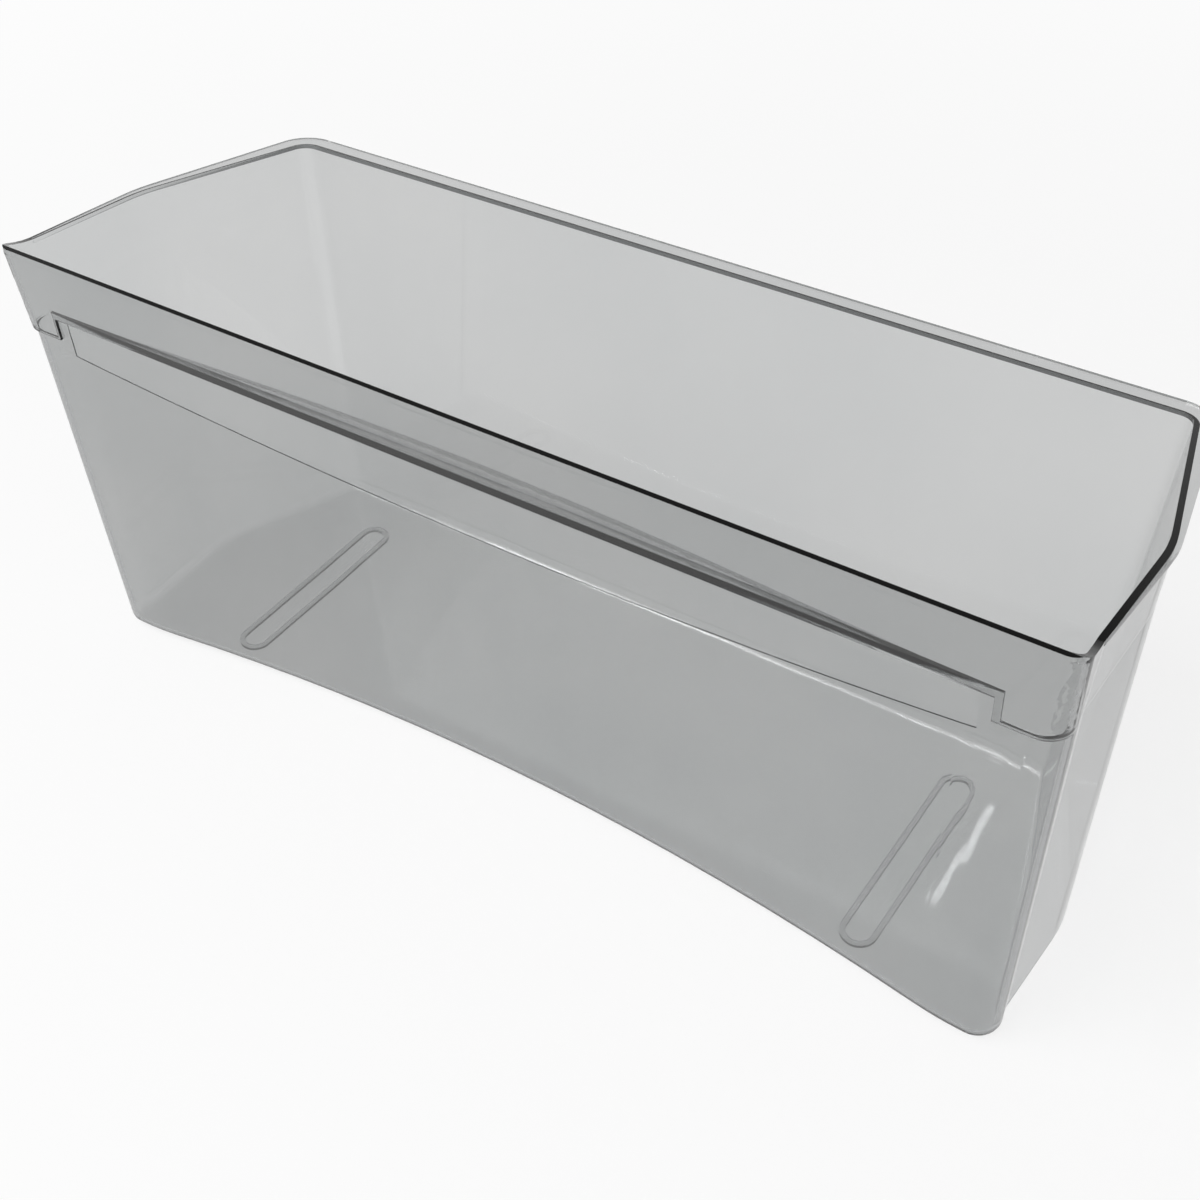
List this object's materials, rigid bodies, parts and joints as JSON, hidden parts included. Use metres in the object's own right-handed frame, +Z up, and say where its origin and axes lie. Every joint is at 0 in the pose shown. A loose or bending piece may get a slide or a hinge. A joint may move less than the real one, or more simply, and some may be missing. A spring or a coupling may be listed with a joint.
{
  "type": "fridge crisper drawer",
  "caption": "Clear moulded fridge drawer: tapered tub with a bowed front, a straight band forming a finger pull, a sloping flanged rim and oval glide ribs under the floor.",
  "frame": {"origin": "under the middle of the bounding box, on the plane of the glide ribs' undersides", "axes": "+X along the drawer's width, -Y out of its front, +Z up"},
  "size_m": [0.4844, 0.1745, 0.2109],
  "materials": {
    "clear_plastic": "clear, glossy, as moulded"
  },
  "bodies": {
    "root": {"crisper_drawer": "clear_plastic"}
  },
  "joints": []
}
